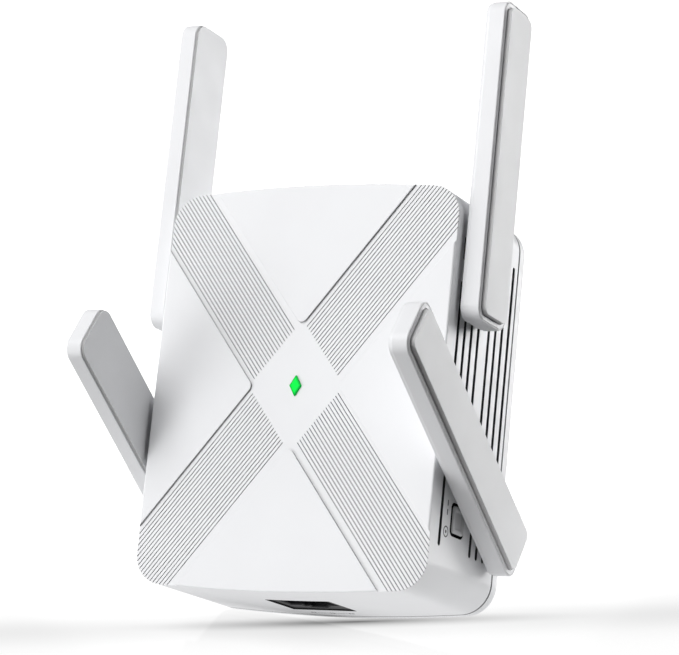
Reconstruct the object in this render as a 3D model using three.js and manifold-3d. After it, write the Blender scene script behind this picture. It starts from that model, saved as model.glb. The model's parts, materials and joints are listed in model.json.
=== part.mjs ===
// A plug-in wifi range extender: a white case that hangs on a wall socket by its own plug, with four
// flat antennas that turn on its sides. Millimetres. X is to the right, Y is towards the wall and Z
// is up. The origin is the middle of the plug on the case's back face.

import * as THREE from 'three';
import { mergeVertices } from 'three/addons/utils/BufferGeometryUtils.js';
import Module from 'manifold-3d';

// ---- Driving sizes ----

const gap = 0.3; // clearance between neighbouring pieces
const past = 1; // how far a cutting solid runs past the face that it cuts
const root = 0.5; // how far a post or seat is sunk into the wall that it grows from

// Case outline, seen from the front: straight sides, crowned top and bottom, round corners.
const caseHalfWidth = 36;
const caseHalfHeight = 45.9;
const caseCrownRadius = 390;
const caseCornerRadius = 7;
const caseDepth = 38.6;
const caseWall = 1.8;
const caseFrontThickness = 2.2;
const frontEdgeRound = 0.4;

// Back cover, from the seam to the wall.
const backCoverDepth = 5.2;
const backEdgeRound = 3;
const backTongueThickness = 1.2;
const backTongueLength = 2.2;
const backTongueOverlap = 1.5; // how far the tongue runs into the cover behind the seam

// X relief on the front: four arms that run to the corners, sunk between four raised wedges.
const reliefDepth = 0.5;
const reliefNotchX = 10.7; // from the middle to the left and right notches
const reliefNotchZ = 13.5; // from the middle to the top and bottom notches
const grooveCount = 18;
const groovePitch = 0.81;
const grooveShift = 0.4; // from the middle of an arm to the middle of its grooves
const grooveWidth = 0.25;
const grooveDepth = 0.35;
const grooveStart = 1.0; // plain margin between the middle rhombus and the first groove ends
const armReach = 60; // from the notches to past the case's corners

// Status light in the middle of the X: a diamond head, a flange behind the wall and a round stem.
const lightHalfWidth = 1.45;
const lightHalfHeight = 2.37;
const lightProudOfRelief = 0.45;
const lightFlangeX = 1.4;
const lightFlangeZ = 1.6;
const lightFlangeBack = 1.2;
const lightStemRadius = 1.2;
const ledHeight = 0.8;
const ledClearance = 0.4;

// Vent slots on the two sides, in two groups of four. Places are measured back from the front face.
const slotPlaces = [5.3, 8.72, 12.14, 15.56, 20.9, 24.32, 27.74, 31.16];
const slotWidth = 1.2;
const slotHalfHeight = 34.1;
const slotEndAboveButton = -21;
const slotsAboveButton = [1, 2, 3];

// Push button low on the right side.
const buttonY = -25.15;
const buttonZ = -27.35;
const buttonWidth = 6.3;
const buttonHeight = 6.7;
const buttonCorner = 1.1;
const buttonProud = 0.4;
const buttonTravel = 0.6;
const buttonFlange = 1;
const buttonFlangeInner = 1.5; // from the wall's inner face to the flange's far face
const buttonStemRadius = 1.3;
const buttonStemY = buttonY + 1;

// Antennas: one shape, used four times, pivoting about X near the lower or rear end.
const antennaWidth = 14.4;
const antennaReach = 61.8; // pivot to tip
const antennaTail = 11.4; // pivot to the other end
const antennaCorner = 2.8;
const antennaInnerX = 37.0;
const antennaRimX = 41.5;
const antennaPanelX = 42.5;
const antennaEdgeRound = 0.25;
const antennaRim = 1.3;
const antennaFloor = 1.0;
const antennaStep = 0.7; // how far the inner plate stands proud of the tray
const antennaStepInset = 0.28;
const panelEdgeRound = 0.25;
const radiatorHalfWidth = 4;
const radiatorEnds = [10, 56];
const radiatorThickness = 0.8;
const radiatorLift = 1.2; // above the antenna's floor
const upperPivot = { y: -28.45, z: 26.5, tiltDegrees: 0 };
const lowerPivot = { y: -13.0, z: -25.5, tiltDegrees: 57.6 };

// Hinge: a hollow tube through the side wall, kept in by a clip.
const hingeTubeRadius = 3.2;
const hingeBoreRadius = 1.8;
const hingeSeatRadius = 4.9;
const hingeSeatHeight = 0.7;
const hingeClearRadius = 5.4; // no vent slot comes nearer to the hinge than this
const hingeInnerEnd = 31.6;
const hingeFlangeRadius = 4.8;
const hingeFlangeThickness = 0.8;
const clipGroove = { x0: 32.6, x1: 33.7, depth: 0.6 };
const clip = { x0: 32.8, x1: 33.5, outer: 4.6, inner: 2.9, mouthHalf: 1.6 };

// Ethernet socket underneath.
const jackX = -0.9;
const jackY = -19.35;
const jackWidth = 15.6;
const jackDepth = 13.5;
const jackBottom = -45.5;
const jackHeight = 20.8;
const jackPlugWidth = 12;
const jackPlugDepth = 7.4;
const jackPlugReach = 14;
const jackPlugBackY = jackY + 1.6;
const latchSteps = [
  { half: 3.2, from: -0.1, to: 1.6, shorter: 0 },
  { half: 2, from: 1.5, to: 2.9, shorter: 5 },
];

// Contacts of the socket: sprung wires in one carrier.
const contactCount = 8;
const contactPitch = 1.02;
const contactHalfThickness = 0.2;
const carrierHalfWidth = 5.4;
const carrierDepth = 2.2;
const carrierHeight = 2;
const contactLength = 8;
const contactHeldEnd = [0.2, 1.2]; // from the carrier's front, where the wire leaves the carrier
const contactFreeEnd = [1.6, 2.0];

// Boards and what holds them.
const boardThickness = 1.6;
const mainBoardFront = -28.0;
const mainBoardHalfWidth = 29;
const mainBoardBottom = -41;
const mainBoardTop = 40;
const mainBoardCorner = 4;
const mainScrewX = 24;
const mainScrewZ = 35;
const powerBoardFront = -10.2;
const powerBoardHalfWidth = 27;
const powerBoardBottom = -20;
const powerBoardTop = 38;
const powerBoardCorner = 3;
const powerScrews = [[22, 33.5], [-22, -14]];
const screwShankRadius = 1.05;
const screwHeadRadius = 2.1;
const screwHeadHeight = 1.4;
const screwCrossHalf = 1.3;
const screwCrossWidth = 0.5;
const screwCrossDepth = 0.7;
const screwHoleRadius = 1.35;
const mainScrewLength = 8;
const powerScrewLength = 7;
const postRadius = 2.6;
const postFloor = 0.6; // left at the bottom of a power board post's hole

// Components on the boards.
const ledHalfWidth = 0.8;
const ledHalfHeight = 1;
const spreader = { x: [-14, 14], z: [8, 30], thickness: 3 };
const shield = { x: [-14, 12], z: [-8, 17], thickness: 3 };
const connector = { x: [18, 23], z: [-12, 2] };
const switchDepth = 3.6;
const switchHalfHeight = 3;
const switchInnerX = 24;
const switchOuterX = 28.4;
const switchClearance = 0.1; // left under the button's stem at the end of its travel
const core = { x: [-22, -6], z: [22, 36], depth: 12 };
const windingInset = 1.5;
const windingProud = 2; // beyond the core, up and down
const capacitor = { x: 12, z: 28, radius: 5, length: 12.7 };

// Two flat blades of a North American plug.
const bladeSpacing = 12.7;
const bladeThickness = 1.5;
const bladeHeight = 6.35;
const bladeLength = 16;
const plugBlockWidth = 24;
const plugBlockHeight = 15;
const plugBlockCorner = 2;
const plugFlange = 2;
const bladeTip = 1.6;
const bladeTailHalf = 1.4;
const bladeTailEnd = 1; // beyond the power board's front
const bladeShoulder = 0.6; // behind the power board
const bladeHoleY = 11.7;
const bladeHoleRadius = 1.9;
const bladeSlotHalfWidth = 1.1;
const bladeSlotHalfHeight = 1.7;

// ---- Planes worked out from the driving sizes ----

const frontY = -caseDepth;
const reliefY = frontY + reliefDepth;
const frontInnerY = frontY + caseFrontThickness;
const seamY = -backCoverDepth;
const sideInnerX = caseHalfWidth - caseWall;
const mainBoardBack = mainBoardFront + boardThickness;
const powerBoardBack = powerBoardFront + boardThickness;
const reliefSlope = reliefNotchZ / reliefNotchX;
const reliefAngle = Math.atan(reliefSlope);
const armHalfWidth = reliefNotchZ * Math.cos(reliefAngle);
const sides = [-1, 1];
const namedSides = [['left', -1], ['right', 1]];

// ---- Materials ----

function finish(color, roughness, metalness = 0) {
  return new THREE.MeshStandardMaterial({ color, roughness, metalness });
}

const materials = {
  case: finish(0xf2f3f5, 0.45),
  light: finish(0x1fe85c, 0.25),
  black: finish(0x15161a, 0.5),
  gold: finish(0xc9a24a, 0.3, 1),
  steel: finish(0xb9bcc0, 0.3, 1),
  board: finish(0x1f6b3a, 0.55),
  powerBoard: finish(0xb48a4a, 0.6),
  ferrite: finish(0x2b2b2e, 0.7),
  sleeve: finish(0x20304a, 0.45),
};

// ---- Booleans ----

const wasm = await Module();
wasm.setup();

function toSolid(geometry) {
  const bare = geometry.clone();
  bare.deleteAttribute('normal');
  bare.deleteAttribute('uv');
  const merged = mergeVertices(bare, 1e-4);
  return new wasm.Manifold(new wasm.Mesh({
    numProp: 3,
    vertProperties: new Float32Array(merged.attributes.position.array),
    triVerts: new Uint32Array(merged.index.array),
  }));
}

function toGeometry(solid) {
  const mesh = solid.getMesh();
  const geometry = new THREE.BufferGeometry();
  geometry.setAttribute('position', new THREE.BufferAttribute(mesh.vertProperties, 3));
  geometry.setIndex(new THREE.BufferAttribute(mesh.triVerts, 1));
  geometry.computeVertexNormals();
  return geometry;
}

function join(...geometries) {
  const solids = geometries.map(toSolid);
  return toGeometry(solids.reduce((whole, piece) => whole.add(piece)));
}

function carve(geometry, cutters) {
  const solids = cutters.map(toSolid);
  return toGeometry(solids.reduce((rest, cutter) => rest.subtract(cutter), toSolid(geometry)));
}

// ---- Extrusions ----

// A shape drawn in X and Z, from y0 back to y1.
function alongY(shape, y0, y1) {
  const geometry = new THREE.ExtrudeGeometry(shape, { depth: y1 - y0, bevelEnabled: false });
  return geometry.rotateX(Math.PI / 2).translate(0, y1, 0);
}

// As alongY, with both end faces' edges rounded. The outline is a function of an inset.
function roundedAlongY(outline, y0, y1, radius, segments) {
  const geometry = new THREE.ExtrudeGeometry(outline(radius), roundedSettings(y1 - y0, radius, segments));
  return geometry.rotateX(Math.PI / 2).translate(0, y1 - radius, 0);
}

function roundedSettings(length, radius, segments) {
  return {
    depth: length - 2 * radius,
    bevelEnabled: true,
    bevelThickness: radius,
    bevelSize: radius,
    bevelSegments: segments,
  };
}

// Turns an extrusion so that its shape lies in Y and Z and it grows along X.
function turnToX(geometry) {
  const axes = [new THREE.Vector3(0, 1, 0), new THREE.Vector3(0, 0, 1), new THREE.Vector3(1, 0, 0)];
  return geometry.applyMatrix4(new THREE.Matrix4().makeBasis(...axes));
}

// A shape drawn in Y and Z, between two X planes.
function alongX(shape, xa, xb) {
  const geometry = new THREE.ExtrudeGeometry(shape, { depth: Math.abs(xb - xa), bevelEnabled: false });
  return turnToX(geometry).translate(Math.min(xa, xb), 0, 0);
}

function roundedAlongX(outline, xa, xb, radius, segments) {
  const settings = roundedSettings(Math.abs(xb - xa), radius, segments);
  const geometry = new THREE.ExtrudeGeometry(outline(radius), settings);
  return turnToX(geometry).translate(Math.min(xa, xb) + radius, 0, 0);
}

function box(x0, x1, y0, y1, z0, z1) {
  const geometry = new THREE.BoxGeometry(x1 - x0, y1 - y0, z1 - z0);
  return geometry.translate((x0 + x1) / 2, (y0 + y1) / 2, (z0 + z1) / 2);
}

function shapeOf(points) {
  return new THREE.Shape(points.map(([a, b]) => new THREE.Vector2(a, b)));
}

function circle(a, b, radius, sides = 24) {
  return shapeOf(Array.from({ length: sides }, (_, i) => {
    const angle = (2 * Math.PI * (i + 0.5)) / sides;
    return [a + radius * Math.cos(angle), b + radius * Math.sin(angle)];
  }));
}

function arc(a, b, radius, from, to, steps) {
  return Array.from({ length: steps + 1 }, (_, i) => {
    const angle = from + ((to - from) * i) / steps;
    return [a + radius * Math.cos(angle), b + radius * Math.sin(angle)];
  });
}

function roundedRectangle(a0, a1, b0, b1, radius, steps = 4) {
  const quarter = Math.PI / 2;
  return shapeOf([
    ...arc(a1 - radius, b1 - radius, radius, 0, quarter, steps),
    ...arc(a0 + radius, b1 - radius, radius, quarter, 2 * quarter, steps),
    ...arc(a0 + radius, b0 + radius, radius, 2 * quarter, 3 * quarter, steps),
    ...arc(a1 - radius, b0 + radius, radius, 3 * quarter, 4 * quarter, steps),
  ]);
}

function rhombus(halfWidth, halfHeight) {
  return shapeOf([[halfWidth, 0], [0, halfHeight], [-halfWidth, 0], [0, -halfHeight]]);
}

// A rhombus whose sides are moved outwards by a distance.
function grownRhombus(halfWidth, halfHeight, distance) {
  const reach = distance * Math.hypot(halfWidth, halfHeight);
  return rhombus(halfWidth + reach / halfHeight, halfHeight + reach / halfWidth);
}

// ---- Case outline ----

// The outline in X and Z, moved inwards by an inset. Each corner arc meets its crown smoothly.
function caseOutline(inset) {
  const crownZ = caseHalfHeight - caseCrownRadius;
  const cornerX = caseHalfWidth - caseCornerRadius;
  const cornerZ = crownZ + Math.sqrt((caseCrownRadius - caseCornerRadius) ** 2 - cornerX ** 2);
  const meet = Math.atan2(cornerZ - crownZ, cornerX);
  const quadrant = [
    ...arc(cornerX, cornerZ, caseCornerRadius - inset, 0, meet, 7),
    ...arc(0, crownZ, caseCrownRadius - inset, meet, Math.PI / 2, 5).slice(1),
  ];
  const mirrored = (signX, signZ) => quadrant.map(([x, z]) => [signX * x, signZ * z]);
  return shapeOf([
    ...mirrored(1, 1),
    ...mirrored(-1, 1).reverse().slice(1),
    ...mirrored(-1, -1),
    ...mirrored(1, -1).reverse().slice(1),
  ]);
}

// ---- Front housing ----

// The X as one outline: four notches, and arms that run past the case's corners.
function reliefShape() {
  const right = reliefNotchX + armReach;
  const top = reliefNotchZ + armReach * reliefSlope;
  const outer = armReach * reliefSlope;
  return shapeOf([
    [reliefNotchX, 0], [right, outer], [armReach, top],
    [0, reliefNotchZ], [-armReach, top], [-right, outer],
    [-reliefNotchX, 0], [-right, -outer], [-armReach, -top],
    [0, -reliefNotchZ], [armReach, -top], [right, -outer],
  ]);
}

// Fine grooves of one arm. They run out along the arm and end beside the middle rhombus, on a line
// that is parallel to the crossing arm. The arm leans one way or the other, as lean is 1 or -1, and
// its grooves lie to the left or right of its middle, as aside is 1 or -1.
function armGrooves(armAngle, lean, aside) {
  const cross = 2 * reliefAngle;
  const half = grooveWidth / 2;
  const floor = reliefY + grooveDepth;
  return Array.from({ length: grooveCount }, (_, i) => {
    const offset = (i - (grooveCount - 1) / 2) * groovePitch + aside * grooveShift;
    const margin = armHalfWidth + grooveStart - lean * offset * Math.cos(cross);
    const nearEnd = margin / Math.sin(cross);
    const groove = box(nearEnd, armReach, frontY - past, floor, offset - half, offset + half);
    return groove.rotateY(-armAngle);
  });
}

function allGrooves() {
  return [
    ...armGrooves(reliefAngle, 1, 1),
    ...armGrooves(Math.PI - reliefAngle, -1, 1),
    ...armGrooves(Math.PI + reliefAngle, 1, -1),
    ...armGrooves(-reliefAngle, -1, 1),
  ];
}

// One vent slot with round ends, cut through the side wall on one side of the case.
function slotCutter(side, y, z0, z1) {
  const half = slotWidth / 2;
  const outline = roundedRectangle(y - half, y + half, z0, z1, half - 0.01, 3);
  return alongX(outline, side * (sideInnerX - past), side * (caseHalfWidth + past));
}

// A slot is broken where it would come too near a hinge.
function ventSlots(side) {
  const cutters = [];
  slotPlaces.forEach((place, index) => {
    const y = frontY + place;
    const shortened = side > 0 && slotsAboveButton.includes(index);
    let bottom = shortened ? slotEndAboveButton : -slotHalfHeight;
    for (const pivot of [lowerPivot, upperPivot]) {
      const reachSquared = hingeClearRadius ** 2 - (y - pivot.y) ** 2;
      if (reachSquared <= 0) continue;
      const reach = Math.sqrt(reachSquared);
      cutters.push(slotCutter(side, y, bottom, pivot.z - reach));
      bottom = pivot.z + reach;
    }
    cutters.push(slotCutter(side, y, bottom, slotHalfHeight));
  });
  return cutters;
}

function hingeSeat(side, pivot) {
  const outline = circle(pivot.y, pivot.z, hingeSeatRadius);
  return alongX(outline, side * (sideInnerX + root), side * (caseHalfWidth + hingeSeatHeight));
}

function hingeHole(side, pivot) {
  const outline = circle(pivot.y, pivot.z, hingeTubeRadius + gap);
  const outerX = caseHalfWidth + hingeSeatHeight;
  return alongX(outline, side * (sideInnerX - past), side * (outerX + past));
}

// A block with the case's outline and a rounded front edge, hollowed from behind.
function housingShell() {
  const rounded = roundedAlongY(caseOutline, frontY, seamY + past, frontEdgeRound, 2);
  const behind = box(-caseHalfWidth - past, caseHalfWidth + past, seamY, seamY + 2 * past,
    -caseHalfHeight - past, caseHalfHeight + past);
  return carve(rounded, [behind, alongY(caseOutline(caseWall), frontInnerY, seamY + 2 * past)]);
}

function buttonWindow() {
  const halfWidth = buttonWidth / 2 + gap;
  const halfHeight = buttonHeight / 2 + gap;
  const outline = roundedRectangle(buttonY - halfWidth, buttonY + halfWidth,
    buttonZ - halfHeight, buttonZ + halfHeight, buttonCorner + gap);
  return alongX(outline, sideInnerX - past, caseHalfWidth + past);
}

function jackWindow() {
  const halfWidth = jackWidth / 2 + gap;
  const halfDepth = jackDepth / 2 + gap;
  return box(jackX - halfWidth, jackX + halfWidth, jackY - halfDepth, jackY + halfDepth,
    -caseHalfHeight - past, -caseHalfHeight + caseWall + past);
}

function frontHousing() {
  const pivots = [upperPivot, lowerPivot];
  const everyHinge = sides.flatMap((side) => pivots.map((pivot) => [side, pivot]));
  const screwPlaces = sides.flatMap((x) => sides.map((z) => [x * mainScrewX, z * mainScrewZ]));
  const posts = screwPlaces.map(([x, z]) => (
    alongY(circle(x, z, postRadius, 16), frontInnerY - root, mainBoardFront - gap)
  ));
  const screwHoles = screwPlaces.map(([x, z]) => (
    alongY(circle(x, z, screwHoleRadius, 12), frontInnerY + root, mainBoardFront)
  ));
  const seats = everyHinge.map(([side, pivot]) => hingeSeat(side, pivot));
  const lightWindow = grownRhombus(lightHalfWidth, lightHalfHeight, gap);
  return carve(join(housingShell(), ...posts, ...seats), [
    alongY(reliefShape(), frontY - past, reliefY),
    ...allGrooves(),
    alongY(lightWindow, frontY - past, frontInnerY + past),
    ...sides.flatMap((side) => ventSlots(side)),
    ...everyHinge.map(([side, pivot]) => hingeHole(side, pivot)),
    ...screwHoles,
    jackWindow(),
    buttonWindow(),
  ]);
}

// ---- Back cover and plug ----

function plugBlockOutline(grow) {
  const halfWidth = plugBlockWidth / 2 + grow;
  const halfHeight = plugBlockHeight / 2 + grow;
  return roundedRectangle(-halfWidth, halfWidth, -halfHeight, halfHeight, plugBlockCorner + grow);
}

// The wall side with a large rounded edge, and a tongue that goes into the front housing.
function backCover() {
  const rounded = roundedAlongY(caseOutline, -2 * backCoverDepth - backEdgeRound, 0, backEdgeRound, 4);
  const front = box(-caseHalfWidth - past, caseHalfWidth + past, -caseDepth, seamY + gap,
    -caseHalfHeight - past, caseHalfHeight + past);
  const tongueInset = caseWall + gap;
  const tongueFront = seamY - backTongueLength;
  const tongue = alongY(caseOutline(tongueInset), tongueFront, seamY + backTongueOverlap);
  const inside = caseOutline(tongueInset + backTongueThickness);
  const hollow = alongY(inside, tongueFront - past, -caseWall);
  const posts = powerScrews.map(([x, z]) => (
    alongY(circle(x, z, postRadius, 16), powerBoardBack + gap, -caseWall + root)
  ));
  const screwHoles = powerScrews.map(([x, z]) => (
    alongY(circle(x, z, screwHoleRadius, 12), powerBoardBack, -caseWall - postFloor)
  ));
  const window = alongY(plugBlockOutline(gap), -2 * backCoverDepth, past);
  const shell = carve(join(carve(rounded, [front]), tongue), [hollow]);
  return carve(join(shell, ...posts), [window, ...screwHoles]);
}

// An insulating insert, flush with the back face, with a flange that bears on the cover from inside.
function plugBlock() {
  const flangeBack = -caseWall - gap;
  const flangeFront = flangeBack - plugFlange;
  const body = alongY(plugBlockOutline(0), flangeFront, 0);
  const flange = alongY(plugBlockOutline(plugFlange), flangeFront, flangeBack);
  const halfWidth = bladeThickness / 2 + gap;
  const halfHeight = bladeHeight / 2 + gap;
  const slots = sides.map((side) => {
    const x = (side * bladeSpacing) / 2;
    return box(x - halfWidth, x + halfWidth, flangeFront - past, past, -halfHeight, halfHeight);
  });
  return carve(join(body, flange), slots);
}

// A blade with a chamfered tip and a hole near it, and a narrow tail through the power board.
function plugBlade(side) {
  const half = bladeHeight / 2;
  const tailFront = powerBoardFront - bladeTailEnd;
  const shoulder = powerBoardBack + bladeShoulder;
  const outline = shapeOf([
    [tailFront, -bladeTailHalf], [shoulder, -bladeTailHalf], [shoulder, -half],
    [bladeLength - bladeTip, -half], [bladeLength, -half + bladeTip],
    [bladeLength, half - bladeTip], [bladeLength - bladeTip, half],
    [shoulder, half], [shoulder, bladeTailHalf], [tailFront, bladeTailHalf],
  ]);
  const x0 = (side * bladeSpacing) / 2 - bladeThickness / 2;
  const x1 = x0 + bladeThickness;
  const hole = alongX(circle(bladeHoleY, 0, bladeHoleRadius, 16), x0 - past, x1 + past);
  return carve(alongX(outline, x0, x1), [hole]);
}

// ---- Light, button and socket ----

// The diamond head fills the window, a flange stops it behind the front wall, a stem meets the LED.
function lightLens() {
  const stemEnd = mainBoardFront - gap - ledHeight - ledClearance;
  const headShape = rhombus(lightHalfWidth, lightHalfHeight);
  const flangeShape = rhombus(lightHalfWidth + lightFlangeX, lightHalfHeight + lightFlangeZ);
  const head = alongY(headShape, reliefY - lightProudOfRelief, frontInnerY + gap + root);
  const flange = alongY(flangeShape, frontInnerY + gap, frontInnerY + lightFlangeBack);
  const stem = alongY(circle(0, 0, lightStemRadius, 12), frontInnerY + lightFlangeBack - root, stemEnd);
  return join(head, flange, stem);
}

function buttonOutline(grow) {
  const halfWidth = buttonWidth / 2 + grow;
  const halfHeight = buttonHeight / 2 + grow;
  return roundedRectangle(buttonY - halfWidth, buttonY + halfWidth,
    buttonZ - halfHeight, buttonZ + halfHeight, buttonCorner);
}

// A cap in the window, a flange that keeps it in, and a stem that ends its travel from the switch.
function button() {
  const inner = sideInnerX - buttonFlangeInner;
  const stemEnd = switchOuterX + buttonTravel + switchClearance;
  const cap = alongX(buttonOutline(0), inner, caseHalfWidth + buttonProud);
  const flange = alongX(buttonOutline(buttonFlange), inner, sideInnerX - gap);
  const stem = alongX(circle(buttonStemY, buttonZ, buttonStemRadius, 12), stemEnd, inner + root);
  return join(cap, flange, stem);
}

// A socket body with room for the plug, and two narrower steps for the plug's latch.
function jack() {
  const halfWidth = jackWidth / 2;
  const halfDepth = jackDepth / 2;
  const halfPlug = jackPlugWidth / 2;
  const mouth = jackBottom - past;
  const reach = jackBottom + jackPlugReach;
  const body = box(jackX - halfWidth, jackX + halfWidth, jackY - halfDepth, jackY + halfDepth,
    jackBottom, jackBottom + jackHeight);
  const plugRoom = box(jackX - halfPlug, jackX + halfPlug, jackPlugBackY - jackPlugDepth, jackPlugBackY,
    mouth, reach);
  const latchRoom = latchSteps.map(({ half, from, to, shorter }) => (
    box(jackX - half, jackX + half, jackPlugBackY + from, jackPlugBackY + to, mouth, reach - shorter)
  ));
  return carve(body, [plugRoom, ...latchRoom]);
}

// Eight sprung wires that slant across the socket, held in one carrier at its inner end.
function jackContacts() {
  const front = jackPlugBackY - jackPlugDepth + gap;
  const inner = jackBottom + jackPlugReach - gap;
  const carrier = box(jackX - carrierHalfWidth, jackX + carrierHalfWidth, front, front + carrierDepth,
    inner - carrierHeight, inner);
  const held = inner - carrierHeight + root;
  const free = held - contactLength;
  const wire = shapeOf([
    [front + contactHeldEnd[0], held], [front + contactFreeEnd[0], free],
    [front + contactFreeEnd[1], free], [front + contactHeldEnd[1], held],
  ]);
  const wires = Array.from({ length: contactCount }, (_, i) => {
    const x = jackX + (i - (contactCount - 1) / 2) * contactPitch;
    return alongX(wire, x - contactHalfThickness, x + contactHalfThickness);
  });
  return join(carrier, ...wires);
}

// ---- Boards ----

function mainBoard() {
  const outline = roundedRectangle(-mainBoardHalfWidth, mainBoardHalfWidth,
    mainBoardBottom, mainBoardTop, mainBoardCorner, 2);
  const holes = sides.flatMap((x) => sides.map((z) => {
    const hole = circle(x * mainScrewX, z * mainScrewZ, screwHoleRadius, 12);
    return alongY(hole, mainBoardFront - past, mainBoardBack + past);
  }));
  return carve(alongY(outline, mainBoardFront, mainBoardBack), holes);
}

function powerBoard() {
  const outline = roundedRectangle(-powerBoardHalfWidth, powerBoardHalfWidth,
    powerBoardBottom, powerBoardTop, powerBoardCorner, 2);
  const [front, back] = [powerBoardFront - past, powerBoardBack + past];
  const holes = powerScrews.map(([x, z]) => alongY(circle(x, z, screwHoleRadius, 12), front, back));
  const slots = sides.map((side) => {
    const x = (side * bladeSpacing) / 2;
    return box(x - bladeSlotHalfWidth, x + bladeSlotHalfWidth, front, back,
      -bladeSlotHalfHeight, bladeSlotHalfHeight);
  });
  return carve(alongY(outline, powerBoardFront, powerBoardBack), [...holes, ...slots]);
}

// A screw along Y, with its head towards positive or negative Y and its tip the other way.
function screw(headFace, direction, length) {
  const between = (shape, ya, yb) => alongY(shape, Math.min(ya, yb), Math.max(ya, yb));
  const headTop = headFace + direction * screwHeadHeight;
  const [low, high] = [headTop - direction * screwCrossDepth, headTop + direction].sort((a, b) => a - b);
  const [half, thin] = [screwCrossHalf, screwCrossWidth / 2];
  const shank = circle(0, 0, screwShankRadius, 12);
  const whole = join(
    between(shank, headFace - direction * length, headFace + direction * root),
    between(circle(0, 0, screwHeadRadius, 16), headFace, headTop),
  );
  return carve(whole, [box(-half, half, low, high, -thin, thin), box(-thin, thin, low, high, -half, half)]);
}

// A bobbin with its winding between two core halves.
function transformer() {
  const back = powerBoardFront - gap;
  const front = back - core.depth;
  const [x0, x1] = core.x;
  const [z0, z1] = core.z;
  const winding = box(x0 + windingInset, x1 - windingInset, front + windingInset, back - windingInset,
    z0 - windingProud, z1 + windingProud);
  return join(box(x0, x1, front, back, z0, z1), winding);
}

// ---- Antennas, drawn with the pivot at Y = Z = 0 and the tip towards +Z ----

function antennaOutline(inset) {
  const half = antennaWidth / 2 - inset;
  const corner = Math.max(antennaCorner - inset, 0.8);
  return roundedRectangle(-half, half, -antennaTail + inset, antennaReach - inset, corner, 6);
}

// A tray that is open to the outside, with a plate that stands proud of its inner side.
function antennaBody(side) {
  const shoulder = antennaInnerX + antennaStep;
  const outer = side * (antennaRimX + past);
  const tray = roundedAlongX(antennaOutline, side * shoulder, side * antennaRimX, antennaEdgeRound, 2);
  const plate = alongX(antennaOutline(antennaStepInset), side * antennaInnerX, side * (shoulder + root));
  return carve(join(tray, plate), [
    alongX(antennaOutline(antennaRim), side * (antennaInnerX + antennaFloor), outer),
    alongX(circle(0, 0, hingeTubeRadius + gap), side * (antennaInnerX - past), outer),
  ]);
}

function antennaPanel(side) {
  const outline = (inset) => antennaOutline(antennaRim + gap + inset);
  return roundedAlongX(outline, side * (antennaRimX - 1), side * antennaPanelX, panelEdgeRound, 2);
}

function antennaRadiator(side) {
  const x = antennaInnerX + antennaFloor + radiatorLift;
  const outline = roundedRectangle(-radiatorHalfWidth, radiatorHalfWidth, ...radiatorEnds, 1, 2);
  return alongX(outline, side * x, side * (x + radiatorThickness));
}

// A flanged tube: the flange lies inside the antenna, and a groove near the inner end takes the clip.
function antennaHinge(side) {
  const floorTop = antennaInnerX + antennaFloor + gap;
  const flangeTop = floorTop + hingeFlangeThickness;
  const flange = alongX(circle(0, 0, hingeFlangeRadius), side * floorTop, side * flangeTop);
  const tube = alongX(circle(0, 0, hingeTubeRadius), side * hingeInnerEnd, side * (floorTop + root));
  const ring = alongX(circle(0, 0, hingeTubeRadius + past), side * clipGroove.x0, side * clipGroove.x1);
  const neck = alongX(circle(0, 0, hingeTubeRadius - clipGroove.depth),
    side * (clipGroove.x0 - past), side * (clipGroove.x1 + past));
  const bore = alongX(circle(0, 0, hingeBoreRadius, 16), side * (hingeInnerEnd - past),
    side * (flangeTop + past));
  return carve(join(flange, tube), [carve(ring, [neck]), bore]);
}

// A split ring with a mouth, sprung into the tube's groove.
function antennaClip(side) {
  const ends = [side * (clip.x0 - past), side * (clip.x1 + past)];
  const mouth = roundedRectangle(-clip.mouthHalf, clip.mouthHalf, -2 * clip.outer, 0, 0.2, 1);
  return carve(alongX(circle(0, 0, clip.outer), side * clip.x0, side * clip.x1), [
    alongX(circle(0, 0, clip.inner), ...ends),
    alongX(mouth, ...ends),
  ]);
}

// ---- Assembly ----

const assembly = new THREE.Group();

function add(parent, name, geometry, material) {
  const mesh = new THREE.Mesh(geometry, material);
  mesh.name = name;
  parent.add(mesh);
  return mesh;
}

function addCase() {
  add(assembly, 'front_housing', frontHousing(), materials.case);
  add(assembly, 'back_cover', backCover(), materials.case);
  add(assembly, 'plug_block', plugBlock(), materials.case);
  add(assembly, 'plug_blade_left', plugBlade(-1), materials.steel);
  add(assembly, 'plug_blade_right', plugBlade(1), materials.steel);
  add(assembly, 'status_light_lens', lightLens(), materials.light);
  add(assembly, 'wps_button', button(), materials.case);
  add(assembly, 'ethernet_jack', jack(), materials.black);
  add(assembly, 'jack_contacts', jackContacts(), materials.gold);
}

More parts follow.
